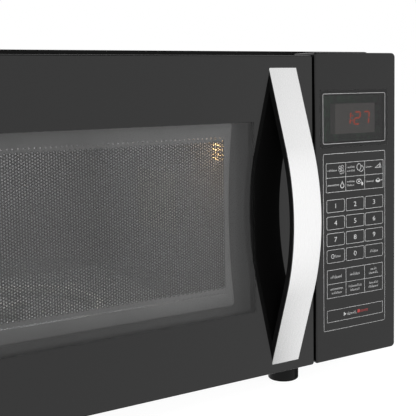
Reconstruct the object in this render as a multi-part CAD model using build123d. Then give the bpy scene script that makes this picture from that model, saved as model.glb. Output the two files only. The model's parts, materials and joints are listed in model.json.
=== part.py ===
"""Countertop microwave oven with a grill, modelled as separate pieces in millimetres.

The frame: +Z up, the front faces -Y, +X to the right of someone facing the door.
The origin is the middle of the bounding box, on the surface that the feet stand on.
"""

from build123d import *
from math import cos, radians, sin, tan
import os

# ---- driving dimensions -------------------------------------------------------------------
WIDTH = 523.8            # outer cover, side to side
BODY_DEPTH = 407.6       # door face to back panel
DOOR_HEIGHT = 280.0
FOOT_HEIGHT = 27.5       # also the height of the base plate
FRONT_DROP = 0.9         # door and control panel reach this far below the base plate
CASE_HEIGHT = 285.0      # base plate to the top of the cover
PANEL_HEIGHT = 282.7     # control panel, a little taller than the door
PANEL_WIDTH = 96.4
PANEL_GAP = 2.4          # between door and control panel
HANDLE_BOW = 34.4        # handle's reach in front of the door
GLAND_REACH = 10.0       # cord gland behind the back panel
SHEET = 1.0              # steel sheet of case and cavity
CASE_CORNER = 8.0        # rounding of the cover's two long upper edges
RUN_FIT = 0.05           # radial clearance of a shaft in its bearing

CAVITY_WIDTH = 342.0
CAVITY_DEPTH = 345.0
CAVITY_HEIGHT = 215.0
CAVITY_LEFT = -226.0
CAVITY_LIFT = 30.0       # cavity floor above the base plate

DOOR_DEPTH = 34.4        # door face to the choke cover's back
DOOR_WALL = 2.5          # door frame's side walls
DOOR_SKIN = 3.2          # door frame's front wall

TRAY_RADIUS = 157.5
ROLLER_RADIUS = 6.8
ROLLER_TRACK = 98.0      # radius of the circle that the rollers run on
TRAY_LIFT = 14.0         # tray's underside above the cavity floor

# ---- places worked out from the driving dimensions ----------------------------------------
LEFT, RIGHT = -WIDTH / 2, WIDTH / 2
FRONT = HANDLE_BOW - (HANDLE_BOW + BODY_DEPTH + GLAND_REACH) / 2
BACK = FRONT + BODY_DEPTH
BASE = FOOT_HEIGHT
CASE_TOP = BASE + CASE_HEIGHT
DOOR_TOP = BASE + DOOR_HEIGHT
PANEL_LEFT = RIGHT - PANEL_WIDTH
DOOR_RIGHT = PANEL_LEFT - PANEL_GAP
PLATE = FRONT + 35.0     # front face of the steel front plate
CHASSIS = PLATE + SHEET  # where the cavity and the base plate begin
CAVITY_RIGHT = CAVITY_LEFT + CAVITY_WIDTH
CAVITY_MID = (CAVITY_LEFT + CAVITY_RIGHT) / 2
CAVITY_BACK = CHASSIS + CAVITY_DEPTH
TRAY_Y = CHASSIS + CAVITY_DEPTH / 2
FLOOR = BASE + CAVITY_LIFT
CEILING = FLOOR + CAVITY_HEIGHT
TRAY_BASE = FLOOR + TRAY_LIFT

# Window and screen of the door, as seen from the front.
WINDOW = (-204.5, 99.5, BASE + 57.5, BASE + 223.1)
PLATFORM = (-190.9, 85.9, BASE + 63.6, BASE + 222.4)
SCREEN_FACE = FRONT + 13.75
SCREEN_SHEET = 0.8

# Hinge axis, upright, near the door's left edge.
HINGE_X, HINGE_Y = LEFT + 7.0, FRONT + 24.0
HINGE_PIN = 2.5

# Latch hooks, just inside the door's right edge.
LATCH_X = 152.0
HOOK_HEIGHTS = (BASE + 45.0, BASE + 205.0)
LATCH_TRAVEL = 5.0

# Handle, a bowed strip between the window and the door's right edge.
HANDLE_LEFT, HANDLE_RIGHT = 116.2, 145.2
HANDLE_LOW, HANDLE_HIGH = BASE + 7.6, BASE + 269.2
HANDLE_TILT = 19.3       # slope of its straight ends
STEEL_SKIN = 1.2
HANDLE_THICKNESS = 6.8

# Door's depth, from the pressed screen to the choke channel.
HINGE_SHEET = 2.0
HINGE_ARMS = (BASE + 3.5, DOOR_TOP - 3.5 - HINGE_SHEET)
CHOKE_OUTER = (LEFT + 11, 146.0, BASE + 6.5, DOOR_TOP - 6.5)
CHOKE_INNER = (CAVITY_LEFT - 5, CAVITY_RIGHT + 5, FLOOR - 5, CEILING + 5)
CHOKE_FRONT = FRONT + 18.0
CHOKE_BACK = FRONT + 33.0

# Control panel.
PANEL_X = (PANEL_LEFT, RIGHT)
PANEL_Z = (BASE - FRONT_DROP, BASE + PANEL_HEIGHT)
OVERLAY = (171.0, 252.0, BASE + 22.5, BASE + 194.5)
LENS = (171.0, 252.0, BASE + 197.0, BASE + 249.0)
DISPLAY = (194.4, 242.1, BASE + 208.4, BASE + 236.2)
PANEL_WALL = 3.0
FILM, LENS_THICKNESS = 0.5, 2.0
DISPLAY_DEPTH = 7.0      # display's face behind the panel's front
BOARD_Y, BOARD_THICKNESS = FRONT + 14.0, 1.6

# Right-hand compartment.
FAN_X, FAN_Z, FAN_RADIUS = 192.0, BASE + 190.0, 46.0
LAMP_Y, LAMP_Z = FRONT + 81.5, BASE + 198.4
LAMP_PITCH = 4.4         # spacing of the holes that let the lamp's light in
GUIDE_Y, GUIDE_Z = (-20.0, 70.0), (BASE + 100.0, BASE + 190.0)
LEVER_Z = HOOK_HEIGHTS[0] + 34.0
LEVER_Y = FRONT + 62.4
SWITCH_STROKE = 1.5

# Small parts.
FOOT_X = 164.5
FOOT_TOP, FOOT_BOTTOM, FOOT_ROUND = 15.0, 14.6, 1.2
FOOT_STEM = 4.0
SCREW_SHANK, SCREW_HEAD = 1.8, 3.6
GLAND_X, GLAND_Z = 205.0, BASE + 40.0
GLAND_NECK, GLAND_COLLAR = 8.0, 11.0
CORD_BORE = 3.75
GRILL_RADIUS = 3.25
GRILL_Z = CEILING - 11.0
SHAFT_RADIUS = 3.5

NODES = {}


# ---- helpers ------------------------------------------------------------------------------
def block(x, y, z):
    """A box between two limits on each axis."""
    low = (min(x), min(y), min(z))
    size = (abs(x[1] - x[0]), abs(y[1] - y[0]), abs(z[1] - z[0]))
    return Pos(*low) * Box(*size, align=(Align.MIN,) * 3)


def rod_x(x, y, z, radius):
    length = x[1] - x[0]
    return Pos((x[0] + x[1]) / 2, y, z) * Rot(0, 90, 0) * Cylinder(radius, length)


def rod_y(x, y, z, radius):
    length = y[1] - y[0]
    return Pos(x, (y[0] + y[1]) / 2, z) * Rot(90, 0, 0) * Cylinder(radius, length)


def rod_z(x, y, z, radius):
    length = z[1] - z[0]
    return Pos(x, y, (z[0] + z[1]) / 2) * Cylinder(radius, length)


def rounded_slab(x, y, z, radius):
    """A box whose four edges along Y are rounded."""
    slab = block(x, y, z)
    return fillet(slab.edges().filter_by(Axis.Y), radius)


def arch_prism(half_width, y, top, radius):
    """Case section: a rectangle whose two upper corners are rounded, from y[0] to y[1]."""
    prism = block((-half_width, half_width), y, (BASE, top))
    return fillet(prism.edges().filter_by(Axis.Y).group_by(Axis.Z)[-1], radius)


def keep(name, *solids):
    """Registers a node made of one solid or of several alike."""
    NODES[name] = list(solids)


def drill(body, holes):
    """Cuts every hole out of a body in one operation."""
    return body - list(holes)


def ring_y(outer, inner, y):
    """A rectangular ring in the XZ plane, given as (x low, x high, z low, z high) twice."""
    whole = block(outer[:2], y, outer[2:])
    return whole - block(inner[:2], (y[0] - 1, y[1] + 1), inner[2:])


def grow(box, margin):
    """Widens (x low, x high, z low, z high) by a margin on each side."""
    return (box[0] - margin, box[1] + margin, box[2] - margin, box[3] + margin)


# ---- case ---------------------------------------------------------------------------------
def vent_slots(x, y_start, z, columns, rows):
    """Upright louvre slots through a side sheet."""
    slot_width, slot_height, pitch_y, pitch_z = 2.4, 22.0, 6.5, 30.0
    for column in range(columns):
        for row in range(rows):
            y = y_start + column * pitch_y
            low = z + row * pitch_z
            yield block(x, (y, y + slot_width), (low, low + slot_height))


def make_outer_cover():
    lip_width = 13.0
    outer = arch_prism(RIGHT, (PLATE, BACK), CASE_TOP, CASE_CORNER)
    inner_half = RIGHT - SHEET
    inner = arch_prism(inner_half, (PLATE - 1, BACK - SHEET), CASE_TOP - SHEET, CASE_CORNER - SHEET)
    lip = arch_prism(inner_half - lip_width, (PLATE - 1, BACK + 1), CASE_TOP - SHEET - lip_width, 4.0)
    cover = outer - inner - lip
    right = (RIGHT - 5, RIGHT + 5)
    left = (LEFT - 5, LEFT + 5)
    slots = [*vent_slots(right, 70.0, BASE + 40, 18, 3), *vent_slots(left, 90.0, BASE + 205, 14, 2)]
    cover = drill(cover, [*slots, *cover_screw_holes()])
    keep("outer_cover", cover)


def cover_screw_places():
    inset = 8.0
    side = RIGHT - inset
    places = [(x, BASE + up) for x in (-side, side) for up in (60, 220)]
    return [*places, (0.0, CASE_TOP - inset)]


def cover_screw_holes():
    return [rod_y(x, (BACK - 5, BACK + 5), z, SCREW_SHANK) for x, z in cover_screw_places()]


def make_cover_screws():
    head_height, slot, slot_depth, reach = 2.2, 0.4, 1.0, 2.0
    screws = []
    for x, z in cover_screw_places():
        body = rod_y(x, (BACK - 8, BACK), z, SCREW_SHANK)
        cap = rod_y(x, (BACK, BACK + head_height), z, SCREW_HEAD)
        depth = (BACK + head_height - slot_depth, BACK + head_height + 1)
        cross = block((x - reach, x + reach), depth, (z - slot, z + slot))
        cross_up = block((x - slot, x + slot), depth, (z - reach, z + reach))
        screws.append((body + cap) - [cross, cross_up])
    keep("cover_screws", *screws)


def make_base_plate():
    half, flange_height = RIGHT - SHEET, 12.0
    slot_width, slot_length, pitch_x, pitch_y = 3.0, 28.0, 9.0, 40.0
    depth = (CHASSIS, BACK - 2 * SHEET)
    plate = block((-half, half), depth, (BASE, BASE + SHEET))
    for side in (-1, 1):
        plate += block((side * half, side * (half - SHEET)), depth, (BASE, BASE + flange_height))
    vents = []
    for row in range(2):
        for column in range(12):
            x = 132 + column * pitch_x
            y = 60 + row * pitch_y
            vents.append(block((x, x + slot_width), (y, y + slot_length), (BASE - 1, BASE + 2)))
    stems = [rod_z(x, y, (BASE - 1, BASE + 2), FOOT_STEM) for x, y in foot_places()]
    keep("base_plate", drill(plate, [*vents, *stems]))


def foot_places():
    return [(x, y) for x in (-FOOT_X, FOOT_X) for y in (CHASSIS + 14.8, 170.0)]


def make_feet():
    feet = []
    for x, y in foot_places():
        pad = Pos(x, y, BASE / 2) * Cone(FOOT_BOTTOM, FOOT_TOP, BASE)
        pad = fillet(pad.edges().group_by(Axis.Z)[0], FOOT_ROUND)
        stem = rod_z(x, y, (BASE, BASE + SHEET), FOOT_STEM)
        barb = rod_z(x, y, (BASE + SHEET, BASE + 4), FOOT_STEM + 1)
        feet.append(pad + stem + barb)
    keep("feet", *feet)


def make_back_panel():
    y = (BACK - 2 * SHEET, BACK - SHEET)
    panel = arch_prism(RIGHT - SHEET, y, CASE_TOP - SHEET, CASE_CORNER - SHEET)
    through = (BACK - 6, BACK + 1)
    grille_hole, slot_width, slot_height, slot_pitch = 2.6, 3.0, 20.0, 9.0
    holes = []
    for ring, count in ((10.0, 6), (19.0, 12), (28.0, 18), (37.0, 24)):
        for step in range(count):
            turn = radians(360.0 * step / count)
            holes.append(rod_y(FAN_X + ring * cos(turn), through, FAN_Z + ring * sin(turn),
                               grille_hole))
    for row in range(2):
        for column in range(16):
            x = CAVITY_LEFT + 20 + column * slot_pitch
            z = BASE + 200 + row * 30
            holes.append(block((x, x + slot_width), through, (z, z + slot_height)))
    holes.append(rod_y(GLAND_X, through, GLAND_Z, GLAND_NECK))
    holes.extend(cover_screw_holes())
    keep("back_panel", drill(panel, holes))


def make_cord_gland():
    """Empty gland that a mains cord would pass through."""
    neck = rod_y(GLAND_X, (BACK - 2 * SHEET, BACK - SHEET), GLAND_Z, GLAND_NECK)
    collar = rod_y(GLAND_X, (BACK - SHEET, BACK + GLAND_REACH), GLAND_Z, GLAND_COLLAR)
    collar = fillet(collar.edges().group_by(Axis.Y)[-1], 2.0)
    clamp = rod_y(GLAND_X, (BACK - 10, BACK - 2 * SHEET), GLAND_Z, GLAND_COLLAR - 1)
    bore = rod_y(GLAND_X, (BACK - 12, BACK + GLAND_REACH + 2), GLAND_Z, CORD_BORE)
    keep("cord_gland", neck + collar + clamp - bore)


def make_front_frame():
    plate = arch_prism(RIGHT - SHEET, (PLATE, CHASSIS), CASE_TOP - SHEET, CASE_CORNER - SHEET)
    through = (PLATE - 1, CHASSIS + 1)
    cuts = [rounded_slab((CAVITY_LEFT, CAVITY_RIGHT), through, (FLOOR, CEILING), 1.5)]
    for z in HOOK_HEIGHTS:
        cuts.append(block((LATCH_X - 5, LATCH_X + 5), through, (z - 8, z + 14)))
    for z in HINGE_ARMS:
        cuts.append(block((LEFT + 1.6, LEFT + 14), through, (z - 0.2, z + HINGE_SHEET + 0.2)))
    for z in (BASE + 80, BASE + 200):
        cuts.append(block((PANEL_LEFT + 12, RIGHT - 12), through, (z, z + 55)))
    keep("front_frame", drill(plate, cuts))


# ---- cavity -------------------------------------------------------------------------------
def make_cavity():
    y = (CHASSIS, CAVITY_BACK)
    z = (FLOOR - SHEET, CEILING + SHEET)
    keep("cavity_left_wall", block((CAVITY_LEFT - SHEET, CAVITY_LEFT), y, z))
    right = block((CAVITY_RIGHT, CAVITY_RIGHT + SHEET), y, z)
    sheet = (CAVITY_RIGHT - 1, CAVITY_RIGHT + 2)
    holes = [block(sheet, (GUIDE_Y[0] + 12, GUIDE_Y[1] - 12), (GUIDE_Z[0] + 12, GUIDE_Z[0] + 52))]
    for column in range(-3, 4):
        for row in range(-3, 4):
            holes.append(rod_x(sheet, LAMP_Y + LAMP_PITCH * column, LAMP_Z + LAMP_PITCH * row, 1.4))
    keep("cavity_right_wall", drill(right, holes))
    x = (CAVITY_LEFT, CAVITY_RIGHT)
    ceiling = block(x, y, (CEILING, CEILING + SHEET))
    terminals = [rod_z(px, py, (CEILING - 1, CEILING + 2), GRILL_RADIUS) for px, py in grill_ends()]
    keep("cavity_ceiling", drill(ceiling, terminals))
    floor = block(x, y, (FLOOR - SHEET, FLOOR))
    keep("cavity_floor", floor - rod_z(CAVITY_MID, TRAY_Y, (FLOOR - 2, FLOOR + 1), 5.0))
    back = block(x, (CAVITY_BACK - SHEET, CAVITY_BACK), (FLOOR, CEILING))
    vents = []
    for column in range(10):
        for row in range(4):
            at = CAVITY_LEFT + 40 + column * 6
            up = CEILING - 50 + row * 6
            vents.append(rod_y(at, (CAVITY_BACK - 2, CAVITY_BACK + 1), up, 1.5))
    keep("cavity_rear_wall", drill(back, vents))


def grill_ends():
    return [(CAVITY_MID + 120, TRAY_Y - 75), (CAVITY_MID + 120, TRAY_Y + 75)]


def make_grill():
    """Sheathed heater, a loop under the ceiling with both ends turned up through it."""
    near, far = grill_ends()
    left = CAVITY_MID - 120
    route = [(*near, CEILING + 18), (*near, GRILL_Z), (left, near[1], GRILL_Z),
             (left, far[1], GRILL_Z), (*far, GRILL_Z), (*far, CEILING + 18)]
    bends = [8.0, 30.0, 30.0, 8.0]
    path = FilletPolyline(*route, radius=bends)
    section = Plane(origin=path @ 0, z_dir=path % 0) * Circle(GRILL_RADIUS)
    keep("grill_element", sweep(section, path=path))
    clips = []
    for x in (CAVITY_MID - 60, CAVITY_MID + 60):
        for y in (near[1], far[1]):
            strap = block((x - 4, x + 4), (y - 6, y + 6), (GRILL_Z - 4.5, CEILING))
            clips.append(strap - rod_x((x - 5, x + 5), y, GRILL_Z, GRILL_RADIUS))
    keep("grill_clips", *clips)


def make_lamp():
    half, wall = 18.0, 2.0
    inside = half - wall
    cap_start, cap_end = CAVITY_RIGHT + 19, CAVITY_RIGHT + 25
    holder = block((CAVITY_RIGHT + SHEET, cap_end + wall), (LAMP_Y - half, LAMP_Y + half),
                   (LAMP_Z - half, LAMP_Z + half))
    pocket = block((CAVITY_RIGHT, cap_end), (LAMP_Y - inside, LAMP_Y + inside),
                   (LAMP_Z - inside, LAMP_Z + inside))
    keep("lamp_holder", holder - pocket)
    glass = rod_x((CAVITY_RIGHT + 4, cap_start), LAMP_Y, LAMP_Z, 8.0)
    cap = rod_x((cap_start, cap_end), LAMP_Y, LAMP_Z, 5.0)
    keep("lamp_bulb", fillet(glass.edges().group_by(Axis.X)[0], 5.0) + cap)


# ---- turntable ----------------------------------------------------------------------------
def make_turntable():
    x, y = CAVITY_MID, TRAY_Y
    motor = rod_z(x, y, (FLOOR - 18, FLOOR - 2), 24.5)
    motor += block((x - 30, x + 30), (y - 6, y + 6), (FLOOR - 2.6, FLOOR - SHEET))
    keep("turntable_motor", motor - rod_z(x, y, (FLOOR - 16, FLOOR + 1), SHAFT_RADIUS + RUN_FIT))
    keep("turntable_shaft", rod_z(x, y, (FLOOR - 15, FLOOR + 9), SHAFT_RADIUS))
    make_coupler(x, y)
    make_roller_ring(x, y)
    make_tray(x, y)


def make_coupler(x, y):
    hub = rod_z(x, y, (FLOOR + 1, TRAY_BASE - 0.4), 9.0)
    arm_z = (FLOOR + 8, TRAY_BASE - 0.4)
    for turn in (0, 120, 240):
        hub += Pos(x, y, 0) * Rot(0, 0, turn) * block((0, 18), (-3, 3), arm_z)
    keep("drive_coupler", hub - rod_z(x, y, (FLOOR, FLOOR + 9), SHAFT_RADIUS))


def make_roller_ring(x, y):
    axle_z = FLOOR + TRAY_LIFT / 2
    inner, outer = ROLLER_TRACK - 12, ROLLER_TRACK - 5
    ring = rod_z(x, y, (axle_z - 3, axle_z + 3), outer) - rod_z(x, y, (axle_z - 4, axle_z + 4), inner)
    wheel_half = 3.5
    for number, turn in enumerate((30, 150, 270), start=1):
        place = Pos(x, y, axle_z) * Rot(0, 0, turn)
        axle = rod_x((outer - 2, ROLLER_TRACK + wheel_half + 2.4), 0, 0, 2.0)
        stop = rod_x((ROLLER_TRACK + wheel_half + 0.4, ROLLER_TRACK + wheel_half + 2.4), 0, 0, 3.2)
        ring += place * (axle + stop)
        wheel = rod_x((ROLLER_TRACK - wheel_half, ROLLER_TRACK + wheel_half), 0, 0, ROLLER_RADIUS)
        bore = rod_x((ROLLER_TRACK - 9, ROLLER_TRACK + 9), 0, 0, 2.0 + RUN_FIT)
        keep(f"roller_{number}", place * (wheel - bore))
    keep("roller_ring", ring)


def make_tray(x, y):
    """Turned glass tray: flat middle, raised rim, and three lugs that the coupler drives."""
    rim, glass, rise, rim_width = TRAY_RADIUS, 4.5, 13.0, 4.0
    flat = rim - 18
    profile = Polyline((0, 0), (flat, 0), (rim - 1, rise - 2), (rim, rise), (rim - rim_width, rise),
                       (flat - 3, glass), (0, glass), close=True)
    tray = revolve(make_face(Plane.XZ * profile), axis=Axis.Z)
    tray = Pos(x, y, TRAY_BASE) * tray
    for turn in (60, 180, 300):
        lug = block((11, 19), (-3, 3), (TRAY_BASE - 4.5, TRAY_BASE + 1))
        tray += Pos(x, y, 0) * Rot(0, 0, turn) * lug
    keep("glass_tray", tray)


# ---- door ---------------------------------------------------------------------------------
def make_door_frame():
    corner, front_round, post_radius = 2.2, 1.3, 3.5
    depth = (FRONT, FRONT + 30)
    shell = rounded_slab((LEFT, DOOR_RIGHT), depth, (BASE - FRONT_DROP, DOOR_TOP), corner)
    shell = fillet(shell.edges().group_by(Axis.Y)[0], front_round)
    hollow = block((LEFT + DOOR_WALL, DOOR_RIGHT - DOOR_WALL), (FRONT + DOOR_SKIN, FRONT + 31),
                   (BASE + DOOR_WALL, DOOR_TOP - DOOR_WALL))
    opening = block(WINDOW[:2], (FRONT - 1, FRONT + 5), WINDOW[2:])
    notches = [block((LEFT - 1, LEFT + 4), (HINGE_Y - 10, FRONT + 31),
                     (z - 0.6, z + HINGE_SHEET + 0.6)) for z in HINGE_ARMS]
    holes = [rod_y(x, (FRONT - 1, FRONT + 5), z, 2.1) for x, z in handle_screw_places()]
    shell = drill(shell, [hollow, opening, *notches, *holes])
    for x, z in door_post_places():
        shell += rod_y(x, (FRONT + DOOR_SKIN, CHOKE_FRONT - SCREEN_SHEET), z, post_radius)
    keep("door_frame", shell)


def door_post_places():
    """Posts inside the door frame that the pressed screen is fixed to."""
    low, high = BASE + 20, DOOR_TOP - 20
    across = (LEFT + 24, CAVITY_MID, CHOKE_OUTER[1] - 6)
    return [(x, z) for x in across for z in (low, high)]


def make_door_window():
    seam = 0.05
    pane = block((WINDOW[0] + seam, WINDOW[1] - seam), (FRONT, FRONT + DOOR_SKIN),
                 (WINDOW[2] + seam, WINDOW[3] - seam))
    edge = grow(WINDOW, 7.0)
    rim = block(edge[:2], (FRONT + DOOR_SKIN, FRONT + DOOR_SKIN + 1.3), edge[2:])
    keep("door_window", pane + rim)


def make_door_screen():
    """Pressed sheet behind the window: a raised platform with a sloping edge and a flange."""
    flange = grow(CHOKE_OUTER, -2.0)
    sheet = block(flange[:2], (CHOKE_FRONT - SCREEN_SHEET, CHOKE_FRONT), flange[2:])
    raised = platform_solid(0.0)
    hollow = platform_solid(SCREEN_SHEET)
    keep("door_screen", sheet + raised - hollow)


def platform_solid(inset):
    """Frustum from the sheet's plane to the platform's face, moved back by an inset."""
    foot = grow(PLATFORM, 3.0 - inset)
    face = grow(PLATFORM, -inset)
    low = Plane(origin=(0, CHOKE_FRONT, 0), x_dir=(1, 0, 0), z_dir=(0, -1, 0))
    high = Plane(origin=(0, SCREEN_FACE + inset, 0), x_dir=(1, 0, 0), z_dir=(0, -1, 0))
    return loft([low * flat_rectangle(foot), high * flat_rectangle(face)])


def flat_rectangle(box):
    centre = ((box[0] + box[1]) / 2, (box[2] + box[3]) / 2)
    return Pos(*centre) * Rectangle(box[1] - box[0], box[3] - box[2])


def make_door_choke():
    """Folded channel round the door's back that stops the microwaves at the seam."""
    depth = (CHOKE_FRONT, CHOKE_BACK)
    ring = ring_y(CHOKE_OUTER, CHOKE_INNER, depth)
    channel = ring_y(grow(CHOKE_OUTER, -SHEET), grow(CHOKE_INNER, SHEET),
                     (CHOKE_FRONT + SHEET, CHOKE_BACK + 1))
    keep("door_choke", ring - channel)
    cover = ring_y(grow(CHOKE_OUTER, 0.8), grow(CHOKE_INNER, -0.8), (CHOKE_BACK, FRONT + DOOR_DEPTH))
    keep("choke_cover", cover)
    pane_y = (CHOKE_BACK - 7, CHOKE_BACK - 5)
    keep("door_inner_pane", block(CHOKE_INNER[:2], pane_y, CHOKE_INNER[2:]))


def make_door_hinges():
    """Bushes in the door's corners, brackets through the front plate, and their pins."""
    lower, upper = HINGE_ARMS
    places = [(lower, lower + HINGE_SHEET, 1), (upper + HINGE_SHEET, upper, -1)]
    keep("hinge_bushes", *[hinge_bush(inner, inward) for _, inner, inward in places])
    keep("hinge_brackets", *[hinge_bracket(outer, inner, inward) for outer, inner, inward in places])
    keep("hinge_pins", *[rod_z(HINGE_X, HINGE_Y, sorted((outer, inner + inward * 12)), HINGE_PIN)
                         for outer, inner, inward in places])


def hinge_bush(inner, inward):
    """Block in the door's corner; inner is the arm's face towards the door's middle."""
    bush = block((LEFT + DOOR_WALL, CHOKE_OUTER[0]), (HINGE_Y - 5, HINGE_Y + 5.5),
                 (inner + inward * 0.5, inner + inward * 14))
    return bush - rod_z(HINGE_X, HINGE_Y, (inner - 15, inner + 15), HINGE_PIN + RUN_FIT)


def hinge_bracket(outer, inner, inward):
    """Arm that carries the pin, with a foot on the back of the front plate."""
    half, foot_height = 5.0, 34.0
    arm_x, arm_z = (HINGE_X - half, HINGE_X + half), sorted((outer, inner))
    eye = rod_z(HINGE_X, HINGE_Y, arm_z, half)
    strap = block(arm_x, (HINGE_Y, CHASSIS + HINGE_SHEET), arm_z)
    foot = block(arm_x, (CHASSIS, CHASSIS + HINGE_SHEET), (outer, outer + inward * foot_height))
    hole = rod_z(HINGE_X, HINGE_Y, (arm_z[0] - 1, arm_z[1] + 1), HINGE_PIN)
    return eye + strap + foot - hole


def make_latch():
    """Sprung slide inside the door with two hooks that reach through the front plate."""
    x = (LATCH_X - 2, LATCH_X + 2)
    low, high = HOOK_HEIGHTS
    slide = block(x, (FRONT + 14, FRONT + 24), (low - 12, high + 18))
    for z in HOOK_HEIGHTS:
        slide += block(x, (FRONT + 24, FRONT + 58), (z, z + 6))
        slide += block(x, (FRONT + 52.5, FRONT + 58), (z - 4, z))
    tip_fillets = slide.edges().filter_by(Axis.X).group_by(Axis.Y)[-1]
    keep("latch_hooks", fillet(tip_fillets, 1.2))
    keep("latch_spring", make_spring(LATCH_X, FRONT + 19, (high + 18, DOOR_TOP - DOOR_WALL)))


def make_spring(x, y, z):
    """Short compression spring as a helical wire with a round section."""
    wire, coil = 0.5, 3.0
    height = z[1] - z[0] - 2 * wire - 0.4
    path = Helix(pitch=height / 6, height=height, radius=coil)
    section = Plane(origin=path @ 0, z_dir=path % 0) * Circle(wire)
    return Pos(x, y, z[0] + wire + 0.2) * sweep(section, path=path)


# ---- handle -------------------------------------------------------------------------------
def handle_screw_places():
    middle = (HANDLE_LEFT + HANDLE_RIGHT) / 2
    return [(middle, HANDLE_LOW + 13), (middle, HANDLE_HIGH - 13)]


def handle_outline(depth):
    """Region under the handle's curve, moved towards the door by a depth.

    Drawn with u along Z from the handle's middle and v out from the door's face.
    """
    half = (HANDLE_HIGH - HANDLE_LOW) / 2
    slope = radians(HANDLE_TILT)
    bend = sin(slope) * tan(slope) + cos(slope) - 1
    radius = (half * tan(slope) - HANDLE_BOW) / bend
    centre = HANDLE_BOW - radius
    reach = radius - depth
    u, v = reach * sin(slope), centre + reach * cos(slope)
    drop = v + 20
    end_u = u + drop / tan(slope)
    arc = ThreePointArc((-u, v), (0, centre + reach), (u, v))
    sides = Polyline((u, v), (end_u, -20), (-end_u, -20), (-u, v))
    return make_face([arc, *sides.edges()])


def handle_layer(outer_depth, inner_depth):
    """Part of the handle between two depths under its outer curve, in front of the door."""
    region = handle_outline(outer_depth) - handle_outline(inner_depth)
    middle = (HANDLE_HIGH + HANDLE_LOW) / 2
    plane = Plane(origin=(HANDLE_LEFT, FRONT, middle), x_dir=(0, 0, 1), z_dir=(1, 0, 0))
    layer = extrude(plane * region, HANDLE_RIGHT - HANDLE_LEFT)
    behind = block((HANDLE_LEFT - 5, HANDLE_RIGHT + 5), (FRONT, FRONT + 60), (BASE - 50, DOOR_TOP + 50))
    return layer - behind


def make_handle():
    keep("handle_strip", handle_layer(0.0, STEEL_SKIN))
    backing = handle_layer(STEEL_SKIN, HANDLE_THICKNESS)
    holes = [rod_y(x, (FRONT - 2.5, FRONT + 1), z, 1.6) for x, z in handle_screw_places()]
    keep("handle_back", drill(backing, holes))
    screws = []
    for x, z in handle_screw_places():
        shank = rod_y(x, (FRONT - 2.5, FRONT + DOOR_SKIN), z, 1.6)
        head = rod_y(x, (FRONT + DOOR_SKIN, FRONT + DOOR_SKIN + 2.4), z, 3.4)
        screws.append(shank + head)
    keep("handle_screws", *screws)


# ---- control panel ------------------------------------------------------------------------
def make_control_housing():
    shell = block(PANEL_X, (FRONT, PLATE), PANEL_Z)
    uprights = shell.edges().filter_by(Axis.Y).group_by(Axis.X)
    outer_corner, inner_corner, front_round, side_wall = 4.2, 2.2, 1.9, 2.5
    shell = fillet(uprights[-1], outer_corner)
    shell = fillet(shell.edges().filter_by(Axis.Y).group_by(Axis.X)[0], inner_corner)
    shell = fillet(shell.edges().group_by(Axis.Y)[0], front_round)
    hollow = block((PANEL_LEFT + side_wall, RIGHT - side_wall), (FRONT + PANEL_WALL, PLATE + 1),
                   (BASE + side_wall, PANEL_Z[1] - side_wall))
    overlay_seat = block(OVERLAY[:2], (FRONT - 1, FRONT + FILM), OVERLAY[2:])
    lens_seat = block(LENS[:2], (FRONT - 1, FRONT + LENS_THICKNESS), LENS[2:])
    view = grow(LENS, -5.0)
    sight = block(view[:2], (FRONT, FRONT + 5), view[2:])
    shell = drill(shell, [hollow, overlay_seat, lens_seat, sight])
    for x, z in board_post_places():
        shell += rod_y(x, (FRONT + PANEL_WALL, BOARD_Y), z, 3.0)
    keep("control_housing", shell)


def board_post_places():
    return [(x, z) for x in (174.0, 250.0) for z in (BASE + 14, BASE + 260)]


def make_controls():
    keep("keypad_overlay", block(OVERLAY[:2], (FRONT, FRONT + FILM), OVERLAY[2:]))
    keep("display_lens", block(LENS[:2], (FRONT, FRONT + LENS_THICKNESS), LENS[2:]))
    back = BOARD_Y + BOARD_THICKNESS
    keep("control_board", block((169, 256), (BOARD_Y, back), (BASE + 9, BASE + 270)))
    display = block(DISPLAY[:2], (FRONT + DISPLAY_DEPTH, BOARD_Y), DISPLAY[2:])
    keep("display_module", display)
    relays = [block((176, 192), (back, back + 14), (z, z + 20)) for z in (BASE + 40, BASE + 66, BASE + 92)]
    supply = block((205, 245), (back, back + 17), (BASE + 40, BASE + 74))
    buzzer = rod_y(215, (back, back + 9), BASE + 130, 6.0)
    plugs = [block((205, 245), (back, back + 8), (z, z + 7)) for z in (BASE + 160, BASE + 180)]
    keep("board_components", *relays, supply, buzzer, *plugs)


# ---- latch board and switches -------------------------------------------------------------
def make_latch_board():
    plate = block((LATCH_X + 8, LATCH_X + 11), (CHASSIS, CHASSIS + 52), (BASE + 20, BASE + 245))
    for z in HOOK_HEIGHTS:
        plate += block((LATCH_X - 5, LATCH_X + 8), (FRONT + 46, FRONT + 51), (z - 12, z - 0.5))
    pivot = rod_x((LATCH_X - 3, LATCH_X + 8), LEVER_Y, LEVER_Z, 2.0)
    keep("latch_board", plate + pivot)
    lever = block((LATCH_X - 2, LATCH_X + 2), (FRONT + 58.4, FRONT + 61.4),
                  (HOOK_HEIGHTS[0] - 4, LEVER_Z))
    lever += rod_x((LATCH_X - 2, LATCH_X + 2), LEVER_Y, LEVER_Z, 4.0)
    bore = rod_x((LATCH_X - 4, LATCH_X + 9), LEVER_Y, LEVER_Z, 2.0 + RUN_FIT)
    keep("interlock_lever", lever - bore)
    switches, plungers = [], []
    for z, face in switch_places():
        case = block((LATCH_X - 4, LATCH_X + 8), (face, face + 15), (z - 13, z + 13))
        well = block((LATCH_X - 2.1, LATCH_X + 2.1), (face - 1, face + 5), (z - 1.6, z + 1.6))
        switches.append(case - well)
        tip = face - 0.2 - (SWITCH_STROKE if face > FRONT + 64 else 0.4)
        plungers.append(block((LATCH_X - 2, LATCH_X + 2), (tip, face + 3), (z - 1.5, z + 1.5)))
    keep("door_switches", *switches)
    keep("switch_plungers", *plungers)


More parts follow.
